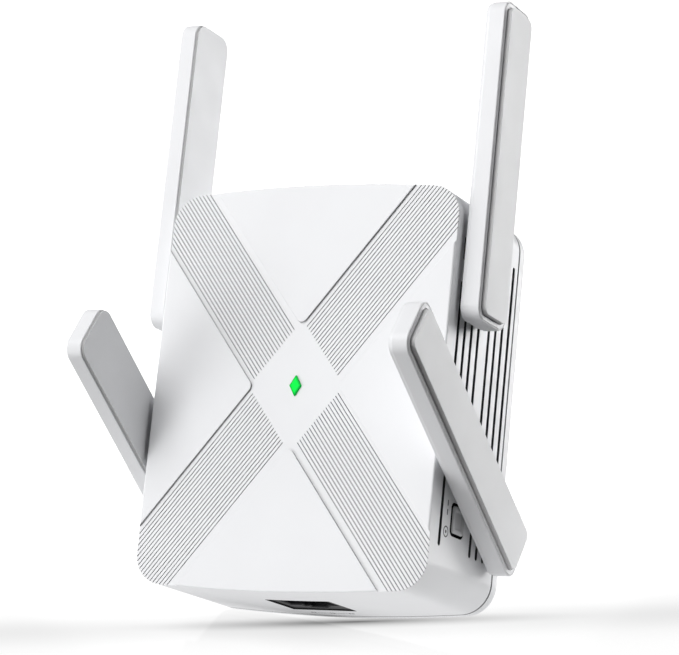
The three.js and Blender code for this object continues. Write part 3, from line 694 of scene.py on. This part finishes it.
def port_cutter():
    """The window of the ethernet socket, through the bottom wall."""
    low, high = node_box("ethernet_jack")
    ease = 0.12
    bottom = -CASE_HALF_HEIGHT

    def outline(inset):
        return rounded_rectangle(low.x - GAP + inset, high.x + GAP - inset,
                                 low.y - GAP + inset, high.y + GAP - inset, PORT_CORNER, 4)

    profile = [(-ease, bottom - PAST), (-ease, bottom), (0, bottom + ease), (0, bottom + CASE_WALL + PAST)]
    # The port's walls inside its eased mouth are painted near black as shade.
    return loft_mesh("port", outline, profile, "z", [PLASTIC, PLASTIC, INNER])


def button_window_cutter():
    (y0, z0), (y1, z1) = button_cap_box()
    width, height = y1 - y0 + 2 * GAP, z1 - z0 + 2 * GAP
    # The button window's walls are painted near black as shade.
    return side_cutter((y0 + y1) / 2, (z0 + z1) / 2, width, height, BUTTON_WINDOW_CORNER, 1, 0.12, INNER)


def lens_window_cutter():
    profile = [(0, FRONT_Y - PAST), (0, FRONT_INNER_Y + PAST)]
    return loft_mesh("lens_window", lambda inset: rhombus(LIGHT_HALF_WIDTH, LIGHT_HALF_HEIGHT, 0.05),
                     profile, "y")


def hinge_hole_mesh(side, level):
    y, z = HINGES[level]
    # The hole's wall is painted near black as shade.
    return prism("hole", circle(y, z, HINGE_HOLE_RADIUS), side * (SIDE_INNER_X - PAST),
                 side * (HINGE_SEAT_X + PAST), "x", SLOT)


def front_shell():
    """The plain hollow shell, with a rounded front edge."""
    profile = fillet(FRONT_EDGE_ROUND, FRONT_Y, 1, 6) + [(0, SEAM_Y - SEAM_EASE), (SEAM_EASE, SEAM_Y)]
    # The seam's eased edge is painted grey as shade, and the inside near black as shade.
    bands = [PLASTIC] * (len(profile) - 2) + [GROOVE]
    shell = loft_mesh("front_housing_shell", case_outline, profile, "y", bands, [PLASTIC, INNER])
    piece = make_object("front_housing_shell", shell, CASE_MATERIALS)
    inside = [(CASE_WALL, FRONT_INNER_Y), (CASE_WALL, SEAM_Y + PAST)]
    apply_boolean(piece, loft_mesh("hollow", case_outline, inside, "y", [INNER]))
    return piece


def cut_relief(piece):
    """Sinks the X into the front, then cuts its grooves. The walls of both are painted grey as shade."""
    ease = 0.1
    profile = [(ease, FRONT_Y - PAST), (ease, FRONT_Y), (0, FRONT_Y + ease), (0, RELIEF_Y)]
    apply_boolean(piece, loft_mesh("relief", relief_outline, profile, "y",
                                   [PLASTIC, PLASTIC, GROOVE], [PLASTIC, PLASTIC]))
    apply_boolean(piece, merged("grooves", groove_meshes()))


def build_front_housing():
    piece = front_shell()
    centres = screw_centres()
    board_front = node_box("main_board")[0].y
    extras = [hinge_seat_mesh(side, level) for side in SIDES.values() for level in LEVELS]
    # The posts are painted near black as shade, like the inside.
    extras += [prism("post", circle(x, z, POST_RADIUS), FRONT_INNER_Y - ROOT, board_front - GAP, "y", INNER)
               for x, z in centres]
    apply_boolean(piece, merged("extras", extras), "UNION")
    cut_relief(piece)

    cuts = [lens_window_cutter()]
    for side in SIDES.values():
        cuts += slot_meshes(side)
        cuts += [hinge_hole_mesh(side, level) for level in LEVELS]
    hole_start = FRONT_INNER_Y + ROOT
    # The screw holes are painted near black as shade.
    cuts += [prism("screw_hole", circle(x, z, SCREW_HOLE_RADIUS), hole_start, board_front, "y", INNER)
             for x, z in centres]
    cuts += [port_cutter(), button_window_cutter()]
    cuts += button_mark_meshes() + socket_mark_meshes()
    apply_boolean(piece, merged("cuts", cuts))
    return finish_piece(piece, "root", "case_plastic", "front_housing")


def button_cap_box():
    """Y and Z limits of the button's visible cap, which is the node without its flange."""
    low, high = node_box("wps_button")
    return ((low.y + BUTTON_FLANGE, low.z + BUTTON_FLANGE),
            (high.y - BUTTON_FLANGE, high.z - BUTTON_FLANGE))


def build_back_cover():
    front = SEAM_Y + GAP
    profile = fillet(BACK_EDGE_ROUND, 0, -1, 14) + [(0, front + SEAM_EASE), (SEAM_EASE, front)]
    # The seam's eased edge is painted grey as shade; the tongue and the inside are painted near black as
    # shade.
    bands = [PLASTIC] * (len(profile) - 2) + [GROOVE]
    shell = loft_mesh("back_cover_shell", case_outline, profile, "y", bands, [PLASTIC, INNER])
    piece = make_object("back_cover_shell", shell, CASE_MATERIALS)
    tongue = CASE_WALL + GAP
    tongue_thickness, tongue_overlap = 1.2, 1.5
    apply_boolean(piece, prism("tongue", case_outline(tongue), cover_low.y, front + tongue_overlap,
                               "y", INNER), "UNION")
    apply_boolean(piece, prism("hollow", case_outline(tongue + tongue_thickness), cover_low.y - PAST,
                               -CASE_WALL, "y", INNER))
    ease = 0.2
    profile = [(-ease, PAST), (-ease, 0), (0, -ease), (0, -10)]
    apply_boolean(piece, loft_mesh("window", lambda inset: plug_outline(inset - GAP), profile, "y"))
    return finish_piece(piece, "root", "case_plastic", "back_cover")


# ---------------------------------------------------------------- plug


def plug_outline(inset):
    """The plug insert's visible face, which is its node without the flange behind the wall."""
    low, high = node_box("plug_block")
    margin = PLUG_FLANGE + inset
    return rounded_rectangle(low.x + margin, high.x - margin, low.z + margin, high.z - margin,
                             PLUG_CORNER, 8)


def build_plug_block():
    back = node_box("plug_block")[0].y
    flange_y = -CASE_WALL - GAP - 0.1
    profile = fillet(0.35, 0, -1) + [(0, flange_y), (-PLUG_FLANGE, flange_y), (-PLUG_FLANGE, back)]
    piece = make_object("plug_insert", loft_mesh("plug_insert", plug_outline, profile, "y"), CASE_MATERIALS)
    cuts = []
    for side in SIDES:
        low, high = node_box(f"plug_blade_{side}")
        # The blade slots' walls are painted near black as shade.
        cuts.append(box_mesh("slot", low.x - GAP, high.x + GAP, back - PAST, PAST,
                             low.z - GAP, high.z + GAP, SLOT))
    apply_boolean(piece, merged("slots", cuts))
    return finish_piece(piece, "root", "case_plastic", "plug_block")


def build_blade(side):
    """A flat blade with eased edges, a chamfered tip and a hole near the tip."""
    low, high = node_box(f"plug_blade_{side}")
    tail_half = 1.4
    shoulder = node_box("power_board")[1].y + 0.6
    tip = 1.6
    half = high.z

    def outline(inset):
        return [(low.y + inset, -tail_half + inset), (shoulder + inset, -tail_half + inset),
                (shoulder + inset, -half + inset), (high.y - tip - inset * 0.4, -half + inset),
                (high.y - inset, -half + tip + inset * 0.4), (high.y - inset, half - tip - inset * 0.4),
                (high.y - tip - inset * 0.4, half - inset), (shoulder + inset, half - inset),
                (shoulder + inset, tail_half - inset), (low.y + inset, tail_half - inset)]

    profile = [(0.2, low.x), (0.06, low.x + 0.06), (0, low.x + 0.2), (0, high.x - 0.2),
               (0.06, high.x - 0.06), (0.2, high.x)]
    name = f"blade_{side}"
    piece = make_object(name, loft_mesh(name, outline, profile, "x"), [blade_metal])
    hole = circle(BLADE_HOLE_Y, 0, BLADE_HOLE_RADIUS)
    apply_boolean(piece, prism("hole", hole, low.x - PAST, high.x + PAST, "x"))
    return finish_piece(piece, "root", "blade_metal", f"plug_blade_{side}")


# ---------------------------------------------------------------- light, button and socket


def build_lens():
    low, high = node_box("status_light_lens")
    flange = 0.7
    flange_y = FRONT_INNER_Y + GAP

    def outline(inset):
        return rhombus(LIGHT_HALF_WIDTH, LIGHT_HALF_HEIGHT, -inset)

    profile = fillet(0.1, low.y, 1, 4)
    profile += [(0, flange_y), (-flange, flange_y), (-flange, FRONT_INNER_Y + 1.2)]
    piece = make_object("light_diamond", loft_mesh("light_diamond", outline, profile, "y"), [light_guide])
    stem = prism("stem", circle(0, 0, 1.2), FRONT_INNER_Y + 1, high.y, "y")
    apply_boolean(piece, stem, "UNION")
    return finish_piece(piece, "root", "light_guide", "status_light_lens")


def build_button():
    """A rounded cap with a shallow dish, a flange behind the wall and a stem to the switch. The white cap is
    painted grey as the antenna's shadow on it, and the flange near black as shade.
    """
    node_low, node_high = node_box("wps_button")
    (y0, z0), (y1, z1) = button_cap_box()
    face = node_high.x

    def outline(inset):
        corner = max(BUTTON_CORNER - inset, 0.15)
        return rounded_rectangle(y0 + inset, y1 - inset, z0 + inset, z1 - inset, corner, 8)

    dish = [(1.75, face - 0.3), (1.5, face - 0.25), (1.3, face - 0.05), (1.15, face)]
    round_edge = [(BUTTON_MOAT + inset, place) for inset, place in fillet(0.4, face, -1)]
    flange_face = SIDE_INNER_X - GAP
    flange = [(BUTTON_MOAT, flange_face), (-BUTTON_FLANGE, flange_face),
              (-BUTTON_FLANGE, SIDE_INNER_X - 1.5)]
    profile, bands = banded((LIGHT, dish), (LIGHT, round_edge), (DARK_SHADE, flange))
    piece = make_object("push_button", loft_mesh("push_button", outline, profile, "x", bands),
                        [button_painted_shade, inner_painted_shade])
    stem_y = (y0 + y1) / 2 + BUTTON_STEM_BEHIND_MIDDLE
    stem = prism("stem", circle(stem_y, (z0 + z1) / 2, BUTTON_STEM_RADIUS), node_low.x, SIDE_INNER_X - 1, "x")
    apply_boolean(piece, stem, "UNION")
    return finish_piece(piece, "wps_button", "case_plastic", "wps_button")


def build_jack():
    low, high = node_box("ethernet_jack")
    middle = (low.x + high.x) / 2
    plug_back = (low.y + high.y) / 2 + 1.6
    reach = low.z + 14

    def outline(inset):
        return rounded_rectangle(low.x + inset, high.x - inset, low.y + inset, high.y - inset,
                                 SOCKET_CORNER, 5)

    profile = fillet(0.3, low.z, 1) + [(0, high.z - 0.3), (0.3, high.z)]
    shell = loft_mesh("ethernet_socket", outline, profile, "z")
    piece = make_object("ethernet_socket", shell, [socket_plastic])
    ease = 0.25
    # Half width, depth and height of the plug's room, then of the two steps for its latch.
    for half, y0, y1, top in ((6, plug_back - 7.4, plug_back, reach),
                              (3.2, plug_back - 0.1, plug_back + 1.6, reach),
                              (2, plug_back + 1.5, plug_back + 2.9, reach - 5)):

        def mouth(inset):
            x0, x1 = middle - half + inset, middle + half - inset
            return rounded_rectangle(x0, x1, y0 + inset, y1 - inset, 0.2, 3)

        depths = [(-ease, low.z - PAST), (-ease, low.z), (0, low.z + ease), (0, top)]
        apply_boolean(piece, loft_mesh("mouth", mouth, depths, "z"))
    return finish_piece(piece, "root", "socket_plastic", "ethernet_jack")


# ---------------------------------------------------------------- antennas


def antenna_placement(level):
    """From an upright antenna with its pivot at the origin to its place on the case."""
    y, z = HINGES[level]
    tilt = Euler((math.radians(ANTENNA_TILT[level]), 0, 0)).to_matrix().to_4x4()
    return Matrix.Translation(Vector((0, y, z)) * MM) @ tilt


def build_antenna(level, name):
    """A flat tray with a raised face towards the case, and a raised panel set into its outer side."""
    side = SIDES[name]
    prefix = f"antenna_{level}_{name}"
    body = make_object(f"{prefix}_shell", antenna_body_mesh(f"{prefix}_shell", side), ANTENNA_MATERIALS)
    hole = prism("hole", circle(0, 0, HINGE_HOLE_RADIUS), side * (ANTENNA_INNER_X - PAST),
                 side * (ANTENNA_RIM_X + PAST), "x")
    apply_boolean(body, hole)
    panel = make_object(f"{prefix}_cover", antenna_panel_mesh(f"{prefix}_cover", side), PANEL_MATERIALS)
    for piece, slot, node in ((body, "antenna_plastic", "body"),
                              (panel, "antenna_panel_plastic", "panel")):
        piece.data.transform(antenna_placement(level))
        finish_piece(piece, prefix, slot, f"{prefix}_{node}")


def antenna_body_mesh(name, side):
    """From the raised inner plate, out over the edge and the rim, down to the ledge that the panel
    stands beside, and into the tray."""
    inner, rim = ANTENNA_INNER_X, ANTENNA_RIM_X
    shoulder = inner + ANTENNA_STEP
    # The step is painted darker as shade on the left antennas only, whose inner side is the one that the
    # photograph shows.
    step_shade_band = STEP if side < 0 else LIGHT
    plate_round, edge_round, ease = 0.06, 0.25, 0.05
    line_start, line_width, line_depth = 0.3, 0.16, 0.12
    line_end = line_start + line_width
    ledge_depth = 0.16
    ledge_end = ANTENNA_RIM + GAP - 0.05
    profile, bands = banded(
        (LIGHT, [(ANTENNA_STEP_INSET + inset, x) for inset, x in fillet(plate_round, inner, 1, 3)]),
        (step_shade_band, [(ANTENNA_STEP_INSET, shoulder)]),
        (LIGHT, fillet(edge_round, shoulder, 1) + fillet(edge_round, rim, -1)[::-1]),
        (LIGHT, [(line_start, rim)]),
        # The fine line on the rim is painted darker as shade.
        (FAINT_SHADE, [(line_start, rim - line_depth), (line_end, rim - line_depth), (line_end, rim)]),
        (LIGHT, [(ANTENNA_RIM - ease, rim), (ANTENNA_RIM, rim - ease)]),
        # The ledge and tray beside the panel are painted darker as shade.
        (DARK_SHADE, [(ANTENNA_RIM, rim - ledge_depth), (ledge_end, rim - ledge_depth),
                (ledge_end, inner + ANTENNA_FLOOR)]),
    )
    profile = [(inset, side * x) for inset, x in profile]
    return loft_mesh(name, antenna_outline, profile, "x", bands, [LIGHT, DARK_SHADE])


def antenna_panel_mesh(name, side):
    """A flat plate with an eased edge on a neck painted darker as shade."""
    start = ANTENNA_RIM + GAP
    thickness_inside = 1
    edge = [(start + inset, x) for inset, x in fillet(0.12, ANTENNA_PANEL_X, -1, 4)[::-1]]
    neck = [(start, ANTENNA_RIM_X - thickness_inside), edge[0]]
    profile, bands = banded((DARK_SHADE, neck), (LIGHT, edge[1:]))
    profile = [(inset, side * x) for inset, x in profile]
    return loft_mesh(name, antenna_outline, profile, "x", bands, [DARK_SHADE, LIGHT])


# ---------------------------------------------------------------- CAD nodes that stay

CARRIED = {
    "jack_contacts": contact_gold,
    "main_board": main_board_mask,
    "status_led": led_package,
    "processor_heat_spreader": spreader_metal,
    "radio_shield": shield_metal,
    "button_switch": switch_plastic,
    "board_connector": socket_plastic,
    "power_board": power_board_paper,
    "transformer": ferrite,
    "bulk_capacitor": capacitor_sleeve,
    "power_board_screw_1": screw_steel,
    "power_board_screw_2": screw_steel,
}
for side_name in SIDES:
    for level_name in LEVELS:
        CARRIED[f"main_board_screw_{level_name}_{side_name}"] = screw_steel
        CARRIED[f"antenna_{level_name}_{side_name}_radiator"] = main_board_mask
        CARRIED[f"antenna_{level_name}_{side_name}_hinge"] = antenna_plastic
        CARRIED[f"antenna_{level_name}_{side_name}_clip"] = clip_steel


def dress_carried_nodes():
    for name, material in CARRIED.items():
        node = frame["nodes"][name]
        node.data.materials.clear()
        node.data.materials.append(material)
        bevel = node.modifiers.new("eased_edges", "BEVEL")
        bevel.width = 0.12 * MM
        bevel.segments = 2
        bevel.limit_method = "ANGLE"
        bevel.angle_limit = math.radians(40)


# ---------------------------------------------------------------- studio

CAMERA_AZIMUTH = 28.47
CAMERA_ELEVATION = -12.79
CAMERA_ROLL = 5.7
CAMERA_DISTANCE = 0.624
CAMERA_AIM = Vector((0.0089, -0.0371, 0.0133))
CAMERA_LENS = 150.4


def direction(azimuth, elevation):
    """From the object towards a viewer. Azimuth 0 is straight in front."""
    a, e = math.radians(azimuth), math.radians(elevation)
    return Vector((math.sin(a) * math.cos(e), -math.cos(a) * math.cos(e), math.sin(e)))


def make_camera():
    data = bpy.data.cameras.new("camera")
    data.lens = CAMERA_LENS
    data.sensor_width = 36
    data.dof.use_dof = False
    camera = bpy.data.objects.new("camera", data)
    bpy.context.scene.collection.objects.link(camera)
    back = direction(CAMERA_AZIMUTH, CAMERA_ELEVATION)
    camera.location = CAMERA_AIM + back * CAMERA_DISTANCE
    facing = (-back).to_track_quat("-Z", "Y").to_matrix().to_4x4()
    roll = Matrix.Rotation(math.radians(CAMERA_ROLL), 4, "Z")
    camera.matrix_world = Matrix.Translation(camera.location) @ facing @ roll
    data.clip_start, data.clip_end = 0.02, 20
    bpy.context.scene.camera = camera
    return camera


# Soft lamps: azimuth, elevation and watts.
LAMP_DISTANCE = 0.9
LAMP_SIZE = 0.5
LAMPS = {
    "front": (-10, 30, 5.9),
    "front_low": (-40, -20, 2.4),
    "left": (-100, 10, 0.8),
    "rear_left": (-150, 20, 1.6),
    "right": (90, 30, 2.7),
    "rear_right": (150, 20, 4.75),
}


def make_light(name, azimuth, elevation, power):
    data = bpy.data.lights.new(name, "AREA")
    data.shape = "DISK"
    data.size = LAMP_SIZE
    data.energy = power
    lamp = bpy.data.objects.new(name, data)
    bpy.context.scene.collection.objects.link(lamp)
    back = direction(azimuth, elevation)
    turn = (-back).to_track_quat("-Z", "Y").to_matrix().to_4x4()
    lamp.matrix_world = Matrix.Translation(back * LAMP_DISTANCE) @ turn
    return lamp


# Soft lobes of the surroundings: direction, strength, and how narrow the lobe is.
SKY = {
    "left": ((-1, 0, 0), 1.2, 1),
    "backdrop": ((-0.465, 0.857, 0.221), 0.95, 30),
}


def make_world():
    """Dark surroundings with one broad bright side, and a bright backdrop."""
    world = bpy.data.worlds.new("studio")
    world.use_nodes = True
    tree = world.node_tree
    tree.nodes["Background"].inputs["Color"].default_value = (1, 1, 1, 1)
    place = tree.nodes.new("ShaderNodeTexCoord").outputs["Generated"]

    def math_node(operation, first, second):
        node = tree.nodes.new("ShaderNodeMath")
        node.operation = operation
        for socket, value in zip(node.inputs, (first, second)):
            if isinstance(value, bpy.types.NodeSocket):
                tree.links.new(value, socket)
            else:
                socket.default_value = value
        return node.outputs[0]

    total = 0.0
    for facing, strength, narrowness in SKY.values():
        dot = tree.nodes.new("ShaderNodeVectorMath")
        dot.operation = "DOT_PRODUCT"
        dot.inputs[1].default_value = Vector(facing).normalized()
        tree.links.new(place, dot.inputs[0])
        lobe = math_node("POWER", math_node("MAXIMUM", dot.outputs["Value"], 0), narrowness)
        total = math_node("ADD", total, math_node("MULTIPLY", lobe, strength))
    tree.links.new(total, tree.nodes["Background"].inputs["Strength"])
    bpy.context.scene.world = world
    bpy.context.scene.view_settings.view_transform = "Standard"


FLOOR_NORMAL = Vector((0.082, -0.358, 0.930)).normalized()
FLOOR_LEFT = -0.3
FLOOR_RIGHT = 0.085
FLOOR_FRONT = -0.1
FLOOR_BACK = 0.12

# The floor's own glow, darker in a band of painted shade across it, from in front of the case to behind it:
# share of the way, and brightness.
FLOOR_GLOW_DEPTHS = (-0.05, 0.01)
FLOOR_GLOW_TURN = -33.7
FLOOR_GLOW = ((0.0, 0.9), (0.3, 0.88), (0.55, 0.66), (0.75, 0.86), (1.0, 0.95))

# A painted contact shadow: the dark strip under the case, painted into the floor's glow. Middle along and
# deep, half sizes, and strength.
CONTACT_MIDDLE = (0.004, -0.0165)
CONTACT_HALF_SIZES = (0.062, 0.0075)
CONTACT_STRENGTH = 0.95


def painted_contact_shadow(n):
    """The share of the glow that the painted shadow strip under the case leaves."""
    patch = n.add("ShaderNodeMapping", vector_type="TEXTURE")
    patch.inputs["Location"].default_value = (*CONTACT_MIDDLE, 0)
    patch.inputs["Rotation"].default_value = (0, 0, math.radians(-FLOOR_GLOW_TURN))
    patch.inputs["Scale"].default_value = (*CONTACT_HALF_SIZES, 1)
    n.link(n.place, patch.inputs["Vector"])
    contact = n.add("ShaderNodeTexGradient", gradient_type="QUADRATIC_SPHERE")
    n.link(patch.outputs["Vector"], contact.inputs["Vector"])
    return n.ramp(contact.outputs["Fac"], 1, 1 - CONTACT_STRENGTH, 0, 1)


def floor_material():
    """Bright paper: it glows softly, with a painted band of shade and a painted contact shadow in its glow;
    it takes faint shadows and mirrors the case a little.
    """
    n = Nodes("pale_floor")
    mapping = n.add("ShaderNodeMapping")
    mapping.inputs["Rotation"].default_value = (0, 0, math.radians(FLOOR_GLOW_TURN))
    n.link(n.place, mapping.inputs["Vector"])
    parts = n.add("ShaderNodeSeparateXYZ")
    n.link(mapping.outputs["Vector"], parts.inputs["Vector"])
    glow = n.add("ShaderNodeValToRGB")
    glow.color_ramp.interpolation = "B_SPLINE"
    for index, (share, level) in enumerate(FLOOR_GLOW):
        stops = glow.color_ramp.elements
        stop = stops[index] if index < 2 else stops.new(share)
        stop.position = share
        stop.color = (level, level, level, 1)
    n.link(n.ramp(parts.outputs["Y"], 0, 1, *FLOOR_GLOW_DEPTHS), glow.inputs["Fac"])
    n.link(glow.outputs["Color"], n.shader.inputs["Emission Color"])
    n.link(painted_contact_shadow(n), n.shader.inputs["Emission Strength"])
    clear = n.add("ShaderNodeBsdfTransparent")
    mix = n.add("ShaderNodeMixShader")
    n.link(n.add("ShaderNodeNewGeometry").outputs["Backfacing"], mix.inputs["Fac"])
    n.link(n.shader.outputs[0], mix.inputs[1])
    n.link(clear.outputs[0], mix.inputs[2])
    n.link(mix.outputs[0], n.tree.nodes["Material Output"].inputs["Surface"])
    return n.set(Base_Color=(0.1, 0.1, 0.1, 1), Roughness=0.08, IOR=1.03)


def make_floor():
    """A pale floor on which the case leans back, resting on the lowest edge of its back."""
    all_points = [v.co for node in frame["nodes"].values() for v in node.data.vertices]
    lowest = min(all_points, key=FLOOR_NORMAL.dot)
    along = Vector((1, 0, 0)) - FLOOR_NORMAL * FLOOR_NORMAL.x
    along.normalize()
    deep = FLOOR_NORMAL.cross(along)
    corners = [(FLOOR_LEFT, FLOOR_FRONT, 0), (FLOOR_RIGHT, FLOOR_FRONT, 0),
               (FLOOR_RIGHT, FLOOR_BACK, 0), (FLOOR_LEFT, FLOOR_BACK, 0)]
    mesh = bpy.data.meshes.new("floor")
    mesh.from_pydata(corners, [], [(0, 1, 2, 3)])
    floor = make_object("floor", mesh, [floor_material()])
    turn = Matrix((along, deep, FLOOR_NORMAL)).transposed().to_4x4()
    floor.matrix_world = Matrix.Translation(FLOOR_NORMAL * FLOOR_NORMAL.dot(lowest)) @ turn
    return floor


make_camera()
make_world()
make_floor()
for lamp_name, lamp_place in LAMPS.items():
    make_light(lamp_name, *lamp_place)

build_front_housing()
build_back_cover()
build_plug_block()
build_blade("left")
build_blade("right")
build_lens()
build_button()
build_jack()
for level_name in LEVELS:
    for side_name in SIDES:
        build_antenna(level_name, side_name)
dress_carried_nodes()
